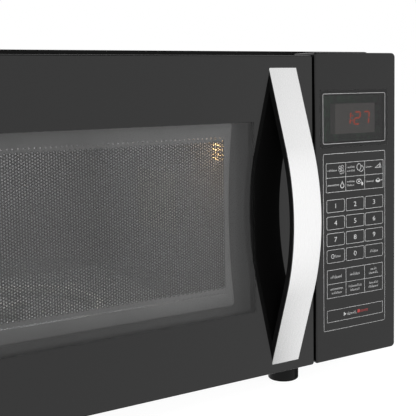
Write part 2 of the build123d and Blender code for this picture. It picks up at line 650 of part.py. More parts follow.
def switch_places():
    """Height of each microswitch's plunger and the Y of its face."""
    low, high = HOOK_HEIGHTS
    return [(low, FRONT + 66.4), (low + 60, FRONT + 66.4), (high + 3, FRONT + 66.4)]


# ---- microwave system ---------------------------------------------------------------------
def make_waveguide():
    x = (CAVITY_RIGHT + SHEET, CAVITY_RIGHT + 40)
    box = block(x, GUIDE_Y, GUIDE_Z)
    hollow = block((x[0] - 1, x[1] - SHEET), (GUIDE_Y[0] + SHEET, GUIDE_Y[1] - SHEET),
                   (GUIDE_Z[0] + SHEET, GUIDE_Z[1] - SHEET))
    middle = (GUIDE_Y[0] + GUIDE_Y[1]) / 2
    antenna_hole = rod_x((x[1] - 5, x[1] + 5), middle, GUIDE_Z[1] - 30, 11.0)
    keep("waveguide", box - hollow - antenna_hole)
    cover_y = (GUIDE_Y[0], GUIDE_Y[1])
    cover_z = (GUIDE_Z[0], GUIDE_Z[0] + 64)
    keep("waveguide_cover", block((CAVITY_RIGHT - 0.6, CAVITY_RIGHT), cover_y, cover_z))
    make_magnetron(x[1], middle, GUIDE_Z[1] - 30)


def make_magnetron(x, y, z):
    length, half_y, half_z, yoke_sheet, fin_sheet, fin_pitch = 62.0, 40.0, 34.0, 2.0, 0.8, 7.0
    end, inside_z = x + length, half_z - yoke_sheet
    yoke = block((x, end), (y - half_y, y + half_y), (z - half_z, z + half_z))
    inside = block((x + yoke_sheet, end - yoke_sheet), (y - half_y - 10, y + half_y + 10),
                   (z - inside_z, z + inside_z))
    body = yoke - inside + rod_x((x - 22, x + 1), y, z, 9.0) + rod_x((x, end), y, z, 19.0)
    for fin in range(6):
        start = x + 12 + fin * fin_pitch
        body += block((start, start + fin_sheet), (y - half_y + 1, y + half_y - 1),
                      (z - inside_z - 0.5, z + inside_z + 0.5))
    body += block((end - 1, end + 22), (y - 20, y + 20), (z - 20, z + 20))
    keep("magnetron", body)


def make_power_supply():
    core_x, core_y, core_height = (150.0, 236.0), (-75.0, -11.0), 80.0
    slot_width, coil_height, overhang = 17.0, 21.0, 14.0
    floor = BASE + SHEET
    core = block(core_x, core_y, (floor, floor + core_height))
    slots = [block((x, x + slot_width), (core_y[0] - 1, core_y[1] + 1), (floor + 16, floor + 64))
             for x in (167.0, 202.0)]
    keep("transformer_core", drill(core, slots))
    coils = []
    for low in (16.4, 42.0):
        z = (floor + low, floor + low + coil_height)
        coil = block((167.2, 218.8), (core_y[0] - overhang, core_y[1] + overhang), z)
        leg = block((183.8, 202.2), (core_y[0] - 0.2, core_y[1] + 0.2), (z[0] - 1, z[1] + 1))
        coils.append(coil - leg)
    keep("transformer_windings", *coils)
    can = block((176, 228), (30, 62), (floor, floor + 60))
    can = fillet(can.edges().filter_by(Axis.Z), 14.0)
    tabs = [block((x, x + 6), (45.6, 46.4), (floor + 60, floor + 72)) for x in (190, 208)]
    keep("capacitor", can + tabs)
    diode = rod_x((142, 164), 46, floor + 4, 4.0)
    keep("high_voltage_diode", diode)


def make_cooling():
    x, z, radius = FAN_X, FAN_Z, FAN_RADIUS
    back = BACK - 2 * SHEET
    half, depth, motor_length, motor_radius = 54.0, 34.0, 26.0, 26.0
    bar_back, bar_front = back - depth, back - depth - 6
    frame = block((x - half, x + half), (bar_back, back), (z - half, z + half))
    frame = frame - rod_y(x, (back - 40, back + 5), z, radius + 3)
    keep("fan_shroud", frame)
    motor = rod_y(x, (bar_front - motor_length, bar_front), z, motor_radius)
    bar = block((x - half + 2, x + half - 2), (bar_front, bar_back), (z - 8, z + 8))
    shaft_hole = rod_y(x, (back - 60, back - 30), z, 2.0 + RUN_FIT)
    keep("fan_motor", motor + bar - shaft_hole)
    blade = rod_y(x, (back - 30, back - 10), z, 11.0) + rod_y(x, (back - 55, back - 28), z, 2.0)
    for step in range(5):
        vane = Pos(28, 0, 0) * Rot(32, 0, 0) * Box(38, 24, 1.6)
        blade += Pos(x, back - 20, z) * Rot(0, 72 * step, 0) * vane
    keep("fan_blade", blade)


def make_electrics():
    board = block((175, 252), (100, 150), (BASE + 20, BASE + 21.6))
    posts = [rod_z(px, py, (BASE + SHEET, BASE + 20), 3.0) for px in (180, 247) for py in (105, 145)]
    choke = rod_z(195, 125, (BASE + 21.6, BASE + 45), 13.0)
    fuse = rod_x((215, 245), 112, BASE + 27, 3.0)
    clips = [block((px, px + 4), (108, 116), (BASE + 21.6, BASE + 27)) for px in (218, 238)]
    keep("filter_board", board + posts + choke + fuse + clips)
    wall = CAVITY_RIGHT + SHEET
    keep("thermal_cutouts", *[rod_x((wall, wall + 9), 110.0, z, 8.0) for z in (BASE + 150, BASE + 220)])


# ---- build --------------------------------------------------------------------------------
def main():
    make_outer_cover()
    make_cover_screws()
    make_base_plate()
    make_feet()
    make_back_panel()
    make_cord_gland()
    make_front_frame()
    make_cavity()
    make_grill()
    make_lamp()
    make_turntable()
    make_door_frame()
    make_door_window()
    make_door_screen()
    make_door_choke()
    make_door_hinges()
    make_latch()
    make_handle()
    make_control_housing()
    make_controls()
    make_latch_board()
    make_waveguide()
    make_power_supply()
    make_cooling()
    make_electrics()
    os.makedirs("parts", exist_ok=True)
    for name, solids in NODES.items():
        pieces = [piece for solid in solids for piece in Compound([solid]).solids()]
        shape = pieces[0] if len(pieces) == 1 else Compound(pieces)
        export_step(shape, f"parts/{name}.step")


main()
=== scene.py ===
"""Looks of the countertop microwave oven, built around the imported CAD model.

Everything is in metres in the CAD frame: +Z up, the front faces -Y, +X to the right.
"""

import json
from math import cos, hypot, pi, radians, sin, tan

import bmesh
import bpy
from mathutils import Matrix, Vector


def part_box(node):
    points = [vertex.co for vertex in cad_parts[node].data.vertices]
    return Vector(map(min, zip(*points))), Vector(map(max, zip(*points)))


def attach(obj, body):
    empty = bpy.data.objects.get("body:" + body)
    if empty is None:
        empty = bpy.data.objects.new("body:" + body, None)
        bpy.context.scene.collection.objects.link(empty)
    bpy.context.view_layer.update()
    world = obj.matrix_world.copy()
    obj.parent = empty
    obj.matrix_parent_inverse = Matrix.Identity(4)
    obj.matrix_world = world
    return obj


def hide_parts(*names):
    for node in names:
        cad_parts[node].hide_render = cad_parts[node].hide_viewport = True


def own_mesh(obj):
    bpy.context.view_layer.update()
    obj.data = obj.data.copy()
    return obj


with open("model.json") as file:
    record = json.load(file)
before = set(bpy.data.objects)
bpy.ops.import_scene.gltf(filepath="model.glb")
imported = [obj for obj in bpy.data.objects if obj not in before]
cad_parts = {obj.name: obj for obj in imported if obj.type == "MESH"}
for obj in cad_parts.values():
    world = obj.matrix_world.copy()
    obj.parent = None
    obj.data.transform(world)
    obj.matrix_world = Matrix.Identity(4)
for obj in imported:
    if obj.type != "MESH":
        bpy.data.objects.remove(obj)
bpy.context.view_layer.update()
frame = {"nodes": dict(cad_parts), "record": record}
NODES = frame["nodes"]
MM = 0.001

# ---- camera, world, floor and lights --------------------------------------------------------
CAMERA_PLACE = (-0.30789, -0.79547, 0.28307)
CAMERA_RIGHT = (0.85729, -0.51456, -0.01667)
CAMERA_UP = (0.05846, 0.06513, 0.99616)
CAMERA_BACK = (-0.51150, -0.85497, 0.08592)


def make_camera():
    data = bpy.data.cameras.new("camera")
    data.sensor_width = 36.0
    data.lens = 73.71
    data.shift_y = -0.1194
    data.clip_start = 0.01
    data.clip_end = 50.0
    camera = bpy.data.objects.new("camera", data)
    turn = Matrix((CAMERA_RIGHT, CAMERA_UP, CAMERA_BACK)).transposed()
    camera.matrix_world = Matrix.Translation(CAMERA_PLACE) @ turn.to_4x4()
    bpy.context.scene.collection.objects.link(camera)
    bpy.context.scene.camera = camera


# Brightness of the studio: (height, level), with the height from 0 straight down to 1 straight up.
WORLD_LEVELS = ((0.0, 0.06), (0.09, 0.08), (0.14, 0.82), (0.20, 0.92), (0.30, 1.0), (0.64, 1.0),
                (0.72, 0.90), (0.84, 0.60), (0.90, 0.10), (1.0, 0.05))


def make_world():
    """A white studio, bright round the horizon and dark straight overhead and below."""
    world = bpy.data.worlds.new("studio")
    bpy.context.scene.world = world
    world.use_nodes = True
    tree = world.node_tree
    tree.nodes.clear()
    place = tree.nodes.new("ShaderNodeTexCoord")
    split = tree.nodes.new("ShaderNodeSeparateXYZ")
    height = tree.nodes.new("ShaderNodeMapRange")
    height.inputs["From Min"].default_value = -1.0
    fade = tree.nodes.new("ShaderNodeValToRGB")
    while len(fade.color_ramp.elements) < len(WORLD_LEVELS):
        fade.color_ramp.elements.new(0.5)
    for element, (position, level) in zip(fade.color_ramp.elements, WORLD_LEVELS):
        element.position = position
        element.color = (level, level, level, 1)
    sky = tree.nodes.new("ShaderNodeBackground")
    out = tree.nodes.new("ShaderNodeOutputWorld")
    tree.links.new(place.outputs["Generated"], split.inputs[0])
    tree.links.new(split.outputs["Z"], height.inputs["Value"])
    tree.links.new(height.outputs["Result"], fade.inputs["Fac"])
    tree.links.new(fade.outputs["Color"], sky.inputs["Color"])
    tree.links.new(sky.outputs[0], out.inputs["Surface"])


def make_floor():
    """Pale floor, nearly white, that still takes a faint shadow under the oven."""
    mesh = bpy.data.meshes.new("floor")
    side = 12.0
    mesh.from_pydata([(-side, -side, 0), (side, -side, 0), (side, side, 0), (-side, side, 0)], [], [(0, 1, 2, 3)])
    floor = bpy.data.objects.new("floor", mesh)
    bpy.context.scene.collection.objects.link(floor)
    floor.location.z = -0.0002
    material = bpy.data.materials.new("floor_paper")
    material.use_nodes = True
    shader = material.node_tree.nodes["Principled BSDF"]
    shader.inputs["Base Color"].default_value = (0.16, 0.16, 0.16, 1)
    shader.inputs["Roughness"].default_value = 0.9
    shader.inputs["Specular IOR Level"].default_value = 0.0
    shader.inputs["Emission Color"].default_value = (1, 1, 1, 1)
    shader.inputs["Emission Strength"].default_value = 0.93
    mesh.materials.append(material)
    floor.visible_glossy = False


def make_dark_card():
    """Card beyond the right side, seen only in reflections, that darkens the rounded edges."""
    x, y, z = 1.3, (-0.72, 0.75), (-0.7, 1.3)
    mesh = bpy.data.meshes.new("dark_card")
    mesh.from_pydata([(x, y[0], z[0]), (x, y[1], z[0]), (x, y[1], z[1]), (x, y[0], z[1])], [], [(0, 1, 2, 3)])
    card = bpy.data.objects.new("dark_card", mesh)
    bpy.context.scene.collection.objects.link(card)
    material = bpy.data.materials.new("card_black")
    material.use_nodes = True
    shader = material.node_tree.nodes["Principled BSDF"]
    shader.inputs["Base Color"].default_value = (0.0, 0.0, 0.0, 1)
    shader.inputs["Specular IOR Level"].default_value = 0.0
    shader.inputs["Emission Color"].default_value = (1, 1, 1, 1)
    shader.inputs["Emission Strength"].default_value = 0.10
    mesh.materials.append(material)
    for kind in ("camera", "diffuse", "transmission", "shadow", "volume_scatter"):
        setattr(card, "visible_" + kind, False)


def add_area(name, place, target, size, power, color=(1, 1, 1), seen=False):
    light = bpy.data.lights.new(name, "AREA")
    light.shape = "RECTANGLE"
    light.size, light.size_y = size
    light.energy = power
    light.color = color
    lamp = bpy.data.objects.new(name, light)
    lamp.location = place
    lamp.rotation_mode = "QUATERNION"
    lamp.rotation_quaternion = (Vector(target) - Vector(place)).to_track_quat("-Z", "Y")
    lamp.visible_camera = False
    lamp.visible_glossy = seen
    bpy.context.scene.collection.objects.link(lamp)
    return lamp


def make_lights():
    add_area("key_from_above", (0.05, -0.9, 1.5), (0, 0, 0.2), (0.9, 0.9), 10.0)
    add_area("soft_right", (0.25, -0.42, 0.20), (0.0, -0.19, 0.17), (0.16, 0.20), 1.40)
    add_area("soft_back", (0.3, 1.3, 0.9), (0, 0.2, 0.15), (0.9, 0.9), 7.0)
    low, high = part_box("cavity_floor")
    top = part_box("cavity_ceiling")[0].z
    middle = (low + high) / 2
    add_area("cavity_fill", (middle.x, middle.y, top - 0.004), (middle.x, middle.y, 0), (0.26, 0.26), 0.9)
    lamp = sum(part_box("lamp_bulb"), Vector()) / 2
    glow = bpy.data.lights.new("lamp_glow", "POINT")
    glow.energy = 0.10
    glow.color = (1.0, 0.62, 0.28)
    glow.shadow_soft_size = 0.02
    spot = bpy.data.objects.new("lamp_glow", glow)
    spot.location = (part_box("cavity_right_wall")[0].x - 0.035, lamp.y + 0.01, lamp.z)
    spot.visible_camera = False
    spot.visible_glossy = False
    bpy.context.scene.collection.objects.link(spot)


# ---- materials ------------------------------------------------------------------------------
WAVE_SCALE = 0.314159    # scale of a Wave Texture whose bands lie one metre apart


class Finish:
    """One procedural material: a Principled shader with textures placed in the CAD frame."""

    def __init__(self, name, color, roughness, **sockets):
        self.material = bpy.data.materials.new(name)
        self.material.use_nodes = True
        self.tree = self.material.node_tree
        self.shader = self.tree.nodes["Principled BSDF"]
        self.set("Base Color", (*color, 1.0))
        self.set("Roughness", roughness)
        for socket, value in sockets.items():
            self.set(socket.replace("_", " "), value)
        self.place = self.tree.nodes.new("ShaderNodeTexCoord").outputs["Object"]

    def set(self, socket, value):
        self.shader.inputs[socket].default_value = value

    def stretched(self, scale):
        node = self.tree.nodes.new("ShaderNodeMapping")
        node.inputs["Scale"].default_value = scale
        self.tree.links.new(self.place, node.inputs["Vector"])
        return node.outputs[0]

    def noise(self, scale, detail=2.0, stretch=(1, 1, 1)):
        node = self.tree.nodes.new("ShaderNodeTexNoise")
        node.inputs["Scale"].default_value = scale
        node.inputs["Detail"].default_value = detail
        self.tree.links.new(self.stretched(stretch), node.inputs["Vector"])
        return node.outputs["Fac"]

    def cells(self, scale, output="Distance", stretch=(1, 1, 1)):
        node = self.tree.nodes.new("ShaderNodeTexVoronoi")
        node.inputs["Scale"].default_value = scale
        self.tree.links.new(self.stretched(stretch), node.inputs["Vector"])
        return node.outputs[output]

    def bands(self, direction, period):
        """Even bands along X, Y or Z, from 0 to 1, with a period in metres."""
        node = self.tree.nodes.new("ShaderNodeTexWave")
        node.bands_direction = direction
        node.inputs["Scale"].default_value = WAVE_SCALE / period
        self.tree.links.new(self.place, node.inputs["Vector"])
        return node.outputs["Fac"]

    def between(self, source, low, high, start=0.3, end=0.7):
        """The source's values from start to end become values from low to high."""
        node = self.tree.nodes.new("ShaderNodeMapRange")
        node.inputs["From Min"].default_value = start
        node.inputs["From Max"].default_value = end
        node.inputs["To Min"].default_value = low
        node.inputs["To Max"].default_value = high
        self.tree.links.new(source, node.inputs["Value"])
        return node.outputs["Result"]

    def colors(self, source, low, high, start=0.3, end=0.7):
        node = self.tree.nodes.new("ShaderNodeValToRGB")
        node.color_ramp.elements[0].position = start
        node.color_ramp.elements[0].color = (*low, 1)
        node.color_ramp.elements[1].position = end
        node.color_ramp.elements[1].color = (*high, 1)
        self.tree.links.new(source, node.inputs["Fac"])
        return node.outputs["Color"]

    def into(self, socket, output):
        self.tree.links.new(output, self.shader.inputs[socket])

    def bump(self, source, height, strength=1.0):
        node = self.tree.nodes.new("ShaderNodeBump")
        node.inputs["Strength"].default_value = strength
        node.inputs["Distance"].default_value = height
        self.tree.links.new(source, node.inputs["Height"])
        below = self.shader.inputs["Normal"]
        if below.is_linked:
            self.tree.links.new(below.links[0].from_socket, node.inputs["Normal"])
        self.tree.links.new(node.outputs["Normal"], below)


def grey(value, warm=0.0):
    return (value * (1 + warm), value, value * (1 - warm))


def tinted(color, factor):
    return tuple(min(1.0, channel * factor) for channel in color)


def gloss_black(name, ior):
    finish = Finish(name, grey(0.0030), 0.035, IOR=ior)
    wave = finish.noise(9.0, 1.0)
    finish.into("Roughness", finish.between(wave, 0.028, 0.045))
    finish.into("Base Color", finish.colors(finish.noise(600.0), grey(0.0024), grey(0.0032)))
    finish.bump(finish.noise(70.0, 0.0), 0.000002)
    return finish.material


def keypad_film():
    finish = Finish("keypad_film", grey(0.003), 0.14, IOR=1.43)
    finish.into("Roughness", finish.between(finish.noise(2500.0), 0.14, 0.20))
    finish.into("Base Color", finish.colors(finish.noise(900.0), grey(0.0026), grey(0.0036)))
    finish.bump(finish.noise(3000.0, 1.0), 0.000002)
    return finish.material


def smoked_glass(name, alpha, ior, color):
    """Tinted pane: the surface colour and gloss cover part of what lies behind."""
    finish = Finish(name, color, 0.02, IOR=ior, Alpha=alpha)
    finish.into("Roughness", finish.between(finish.noise(8.0, 1.0), 0.015, 0.03))
    finish.bump(finish.noise(12.0, 0.0), 0.000003)
    return finish.material


def lamp_glass():
    finish = Finish("lamp_glass", (0.9, 0.85, 0.75), 0.2, Emission_Strength=34.0)
    finish.set("Emission Color", (1.0, 0.66, 0.30, 1))
    finish.into("Roughness", finish.between(finish.noise(300.0), 0.15, 0.3))
    return finish.material


def coated(name, color, roughness, grain, height, **sockets):
    """Paint or enamel with a fine grain."""
    finish = Finish(name, color, roughness, **sockets)
    fine = finish.noise(grain, 3.0)
    broad = finish.noise(14.0, 2.0)
    finish.into("Base Color", finish.colors(broad, tinted(color, 0.9), tinted(color, 1.1)))
    finish.into("Roughness", finish.between(fine, roughness - 0.06, roughness + 0.06))
    finish.bump(fine, height)
    return finish


def speckled(name, color, roughness):
    """Grey enamel with fine dark specks."""
    finish = coated(name, color, roughness, 900.0, 0.00001)
    specks = finish.noise(1600.0, 1.0)
    finish.into("Base Color", finish.colors(specks, tinted(color, 0.45), color, 0.30, 0.40))
    return finish.material


def zinc_steel():
    finish = Finish("zinc_steel", grey(0.58), 0.4, Metallic=1.0)
    spangle = finish.cells(190.0, "Color")
    finish.into("Base Color", finish.colors(spangle, (0.46, 0.47, 0.48), (0.66, 0.67, 0.68), 0.1, 0.9))
    finish.into("Roughness", finish.between(finish.noise(240.0), 0.32, 0.46))
    finish.bump(finish.noise(700.0), 0.000006)
    return finish.material


def bright_steel(name="bright_steel", color=(0.62, 0.61, 0.59), roughness=0.24, grain=(1, 1, 1)):
    finish = Finish(name, color, roughness, Metallic=1.0)
    marks = finish.noise(700.0, 3.0, grain)
    finish.into("Roughness", finish.between(marks, roughness - 0.08, roughness + 0.08))
    finish.into("Base Color", finish.colors(marks, tinted(color, 0.92), tinted(color, 1.06)))
    finish.bump(marks, 0.000002)
    return finish.material


def brushed_face():
    finish = Finish("handle_brushed", grey(0.93), 0.27, Metallic=1.0)
    streaks = finish.noise(60.0, 4.0, (40.0, 4.0, 0.5))
    finish.into("Base Color", finish.colors(streaks, grey(0.94), grey(0.98)))
    finish.into("Roughness", finish.between(streaks, 0.24, 0.31))
    finish.bump(streaks, 0.0000003)
    return finish.material


def polished_edge():
    finish = Finish("handle_edge", grey(0.99), 0.12, Metallic=1.0)
    finish.into("Roughness", finish.between(finish.noise(400.0), 0.08, 0.16))
    return finish.material


def plastic(name, color, roughness, grain=2200.0, height=0.000012, **sockets):
    finish = Finish(name, color, roughness, **sockets)
    fine = finish.noise(grain, 2.0)
    finish.into("Roughness", finish.between(fine, roughness - 0.05, roughness + 0.05))
    finish.into("Base Color", finish.colors(finish.noise(18.0), tinted(color, 0.92), tinted(color, 1.06)))
    finish.bump(fine, height)
    return finish.material


def mica():
    finish = Finish("mica", (0.46, 0.45, 0.43), 0.35)
    flakes = finish.cells(140.0, "Color", (1, 1, 1.6))
    finish.into("Base Color", finish.colors(flakes, (0.40, 0.39, 0.37), (0.50, 0.49, 0.46), 0.1, 0.9))
    finish.into("Roughness", finish.between(finish.noise(400.0), 0.25, 0.45))
    finish.bump(finish.cells(260.0), 0.00002)
    return finish.material


def core_iron():
    finish = Finish("core_iron", (0.10, 0.09, 0.08), 0.5, Metallic=0.7)
    sheets = finish.bands("Y", 0.0005)
    finish.into("Base Color", finish.colors(sheets, (0.05, 0.045, 0.04), (0.16, 0.15, 0.14)))
    finish.bump(sheets, 0.00003)
    return finish.material


def copper():
    finish = Finish("copper", (0.55, 0.23, 0.10), 0.3, Metallic=1.0)
    turns = finish.bands("Z", 0.0009)
    finish.into("Base Color", finish.colors(turns, (0.30, 0.11, 0.05), (0.70, 0.32, 0.15)))
    finish.bump(turns, 0.0001)
    return finish.material


def circuit_board():
    finish = Finish("circuit_board", (0.02, 0.12, 0.05), 0.35)
    traces = finish.cells(160.0, "Distance")
    finish.into("Base Color", finish.colors(traces, (0.03, 0.17, 0.07), (0.012, 0.07, 0.03), 0.45, 0.5))
    finish.into("Roughness", finish.between(finish.noise(500.0), 0.25, 0.4))
    finish.bump(traces, 0.00002)
    return finish.material


def led_module_painted_glow():
    # The module's unlit face gets a faint whitish emission: a painted glow that makes it look lighter behind the
    # smoked lens.
    finish = Finish("led_module_painted_glow", (0.30, 0.28, 0.26), 0.5, Emission_Strength=0.06)
    finish.set("Emission Color", (1.0, 0.93, 0.88, 1))
    finish.into("Base Color", finish.colors(finish.noise(900.0), (0.27, 0.25, 0.235), (0.33, 0.31, 0.29)))
    finish.bump(finish.noise(1500.0), 0.00001)
    return finish.material


def led_lit():
    finish = Finish("led_lit", (0.5, 0.06, 0.02), 0.4, Emission_Strength=1.15)
    finish.set("Emission Color", (1.0, 0.10, 0.035, 1))
    finish.into("Roughness", finish.between(finish.noise(900.0), 0.3, 0.5))
    return finish.material


def ink(name, color):
    """Screen print: slightly uneven, with a fine tooth."""
    finish = Finish(name, color, 0.5)
    finish.into("Base Color", finish.colors(finish.noise(2600.0), tinted(color, 0.86), color))
    finish.bump(finish.noise(5000.0), 0.000002)
    return finish.material


FINISHES = {
    "gloss_black": gloss_black("gloss_black", 1.48),
    "panel_gloss": gloss_black("panel_gloss", 1.43),
    "keypad_film": keypad_film(),
    "window_glass": smoked_glass("window_glass", 0.35, 1.82, grey(0.004)),
    "clear_glass": smoked_glass("clear_glass", 0.10, 1.9, (0.55, 0.62, 0.60)),
    "lamp_glass": lamp_glass(),
    "display_glass": smoked_glass("display_glass", 0.60, 1.54, grey(0.003)),
    "led_red": led_module_painted_glow(),
    "black_enamel": coated("black_enamel", grey(0.004), 0.34, 1500.0, 0.00001, Specular_IOR_Level=0.10).material,
    "zinc_steel": zinc_steel(),
    "bright_steel": bright_steel(),
    "cavity_enamel": speckled("cavity_enamel", (0.44, 0.44, 0.45), 0.32),
    "screen_enamel": coated("screen_enamel", grey(0.05), 0.45, 1200.0, 0.00001).material,
    "handle_steel": brushed_face(),
    "black_plastic": plastic("black_plastic", grey(0.006), 0.40, Specular_IOR_Level=0.2),
    "rubber": plastic("rubber", grey(0.004), 0.22, 1400.0, 0.000004, Specular_IOR_Level=0.12),
    "white_plastic": plastic("white_plastic", (0.72, 0.72, 0.69), 0.35),
    "red_plastic": plastic("red_plastic", (0.55, 0.03, 0.02), 0.35),
    "grill_steel": bright_steel("grill_steel", (0.22, 0.20, 0.19), 0.34),
    "clip_steel": bright_steel("clip_steel", (0.50, 0.50, 0.49), 0.30),
    "mica": mica(),
    "lamp_ceramic": plastic("lamp_ceramic", (0.80, 0.78, 0.72), 0.5, 500.0, 0.00003),
    "magnetron_metal": bright_steel("magnetron_metal", (0.66, 0.66, 0.64), 0.32),
    "core_iron": core_iron(),
    "copper": copper(),
    "circuit_board": circuit_board(),
    "component_black": plastic("component_black", grey(0.02), 0.45),
    "fan_plastic": plastic("fan_plastic", grey(0.10), 0.4),
}


def paint_cad_nodes():
    for row in frame["record"]["subparts"]:
        node = NODES[row["node"]]
        node.data.materials.clear()
        node.data.materials.append(FINISHES[row["material_slot"]])


# ---- building meshes ------------------------------------------------------------------------
def piece(name, vertices, faces, finish, body, replaces=(), smooth=False):
    """A new piece of the oven from its vertices (in metres) and faces."""
    mesh = bpy.data.meshes.new(name)
    mesh.from_pydata([tuple(v) for v in vertices], [], faces)
    mesh.update()
    build = bmesh.new()
    build.from_mesh(mesh)
    bmesh.ops.recalc_face_normals(build, faces=build.faces)
    build.to_mesh(mesh)
    build.free()
    if smooth:
        mesh.shade_smooth()
        mesh.set_sharp_from_angle(angle=radians(32))
    mesh.materials.append(finish)
    made = bpy.data.objects.new(name, mesh)
    bpy.context.scene.collection.objects.link(made)
    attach(made, body)
    if replaces:
        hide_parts(*replaces)
    return made


# ---- handle ---------------------------------------------------------------------------------
HANDLE_TILT = radians(19.3)
HANDLE_EDGE = 0.55 * MM
STRIP_SKIN = 1.2 * MM


def handle_line(depth, half, bow, steps=24, arc_steps=40):
    """Points (u along Z from the middle, v out from the door) of the handle's curve, moved in by depth."""
    bend = sin(HANDLE_TILT) * tan(HANDLE_TILT) + cos(HANDLE_TILT) - 1
    radius = (half * tan(HANDLE_TILT) - bow) / bend
    reach = radius - depth
    foot = half - depth / sin(HANDLE_TILT)
    knee_u, knee_v = reach * sin(HANDLE_TILT), bow - radius + reach * cos(HANDLE_TILT)
    points = [(-foot + (foot - knee_u) * i / steps, knee_v * i / steps) for i in range(steps)]
    for i in range(arc_steps + 1):
        angle = HANDLE_TILT * (2 * i / arc_steps - 1)
        points.append((reach * sin(angle), bow - radius + reach * cos(angle)))
    points += [(-u, v) for u, v in points[:steps][::-1]]
    return points


def strip_section(width):
    """Section of the strip, (across, depth) pairs in order, with rounded front edges."""
    section = []
    for i in range(6):
        angle = pi / 2 * i / 5
        section.append((HANDLE_EDGE * (1 - sin(angle)), HANDLE_EDGE * (1 - cos(angle))))
    left = section[::-1]
    right = [(width - across, depth) for across, depth in section]
    return [(0.0, STRIP_SKIN)] + left + right + [(width, STRIP_SKIN)]


def make_handle_strip():
    low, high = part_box("handle_strip")
    front = high.y
    half, bow, middle = (high.z - low.z) / 2, front - low.y, (high.z + low.z) / 2
    section = strip_section(high.x - low.x)
    vertices, faces = [], []
    for across, depth in section:
        line = handle_line(depth, half, bow)
        vertices += [(low.x + across, front - v, middle + u) for u, v in line]
    count, around = len(vertices) // len(section), len(section)
    for i in range(around):
        a, b = i * count, (i + 1) % around * count
        faces += [(a + j, a + j + 1, b + j + 1, b + j) for j in range(count - 1)]
    faces.append(tuple(i * count for i in range(around)))
    faces.append(tuple(i * count + count - 1 for i in range(around)))
    strip = piece("handle_band", vertices, faces, FINISHES["handle_steel"], "door",
                  ["handle_strip"], smooth=True)
    strip.data.materials.append(polished_edge())
    for face in strip.data.polygons:
        x = face.center.x
        if x < low.x + HANDLE_EDGE or x > high.x - HANDLE_EDGE:
            face.material_index = 1


# ---- door screen ----------------------------------------------------------------------------
HOLE_PITCH = 2.5 * MM
HOLE_RADIUS = 0.80 * MM
CELL_POINTS = 12         # points round a cell, and round its hole
MESH_SHEET = 0.5 * MM
MESH_DEPTH = 0.25 * MM   # the holed sheet lies this far behind the border's face
MESH_BOX = (-0.1815, 0.0765, 0.1027, 0.2402)
MESH_GAP = 0.9 * MM      # from the outer cells' middles to the border
PLATFORM = (-0.1909, 0.0859, 0.0911, 0.2499)
PLATFORM_BOW = 5.0 * MM  # its upright edges bend inwards by this much
SCREEN_SHEET = 0.8 * MM
SLOPE = 2.6 * MM         # spread of the slope between platform and flange


def hole_columns():
    """X of each column of cells, and the (Z, kind) of its cells.

    Kind 2 is a hole in the dark field, 1 a hole in the border and 0 a closed cell of the border.
    Above and below the field lies a closed row, then a row with a hole in every other column.
    """
    left, right, bottom, top = MESH_BOX
    step = HOLE_PITCH * cos(pi / 6)
    count = int(round((right - left) / step)) + 1
    rows = int(round((top - bottom) / HOLE_PITCH))
    columns = []
    for i in range(count):
        odd = i % 2
        cells = []
        for j in range(rows):
            kind = 2
            if j in (0, rows - 1):
                kind = 1 - odd
            elif j in (1, rows - 2):
                kind = 0
            cells.append((bottom + HOLE_PITCH / 2 * odd + j * HOLE_PITCH, kind))
        columns.append((left + i * step, cells))
    return columns


def cell_outlines():
    """Points round a six-sided cell and round its hole, from the cell's middle."""
    outer, inner = [], []
    corner = HOLE_PITCH / 2 / cos(pi / 6)
    for i in range(CELL_POINTS):
        angle = pi / 6 * i
        reach = corner if i % 2 == 0 else corner * cos(pi / 6)
        outer.append((reach * cos(angle), reach * sin(angle)))
        inner.append((HOLE_RADIUS * cos(angle), HOLE_RADIUS * sin(angle)))
    return outer, inner


def shared_vertex(x, z, vertices, places):
    """Index of the vertex at a place, the same one for all the cells that meet there."""
    per_metre = 2e6
    key = (round(x * per_metre), round(z * per_metre))
    for du, dv in ((0, 0), (1, 0), (-1, 0), (0, 1), (0, -1)):
        near = (key[0] + du, key[1] + dv)
        if near in places:
            return places[near]
    places[key] = len(vertices)
    vertices.append((x, z))
    return places[key]


def mesh_front(columns):
    """Front of the holed sheet: vertices as (x, z), faces, edges, hole walls and the border's faces."""
    outer, inner = cell_outlines()
    loop = [(i, (i + 1) % CELL_POINTS) for i in range(CELL_POINTS)]
    vertices, places, faces, edges, walls, border = [], {}, [], {}, [], []
    for x, cells in columns:
        for z, kind in cells:
            rim = [shared_vertex(x + u, z + v, vertices, places) for u, v in outer]
            edges.update(((rim[i], rim[j]), True) for i, j in loop)
            first = len(faces)
            if kind == 0:
                faces.append(tuple(rim))
            else:
                base = len(vertices)
                vertices.extend((x + u, z + v) for u, v in inner)
                faces += [(rim[i], rim[j], base + j, base + i) for i, j in loop]
                walls += [(base + i, base + j) for i, j in loop]
            if kind < 2:
                border += range(first, len(faces))
    return vertices, faces, edges, walls, border


def make_mesh_part(name, columns, face_y, finish, edge_finish):
    """Sheet of six-sided cells, most with a round hole in the middle."""
    vertices, faces, edges, walls, border = mesh_front(columns)
    shift = len(vertices)
    sides = [(a, b, b + shift, a + shift) for a, b in edges if (b, a) not in edges]
    sides += [(a, b, b + shift, a + shift) for a, b in walls]
    back = [tuple(v + shift for v in face[::-1]) for face in faces]
    solid = [(x, face_y, z) for x, z in vertices] + [(x, face_y + MESH_SHEET, z) for x, z in vertices]
    sheet = piece(name, solid, faces + back + sides, finish, "door")
    sheet.data.materials.append(edge_finish)
    for index in border:
        sheet.data.polygons[index].material_index = 1


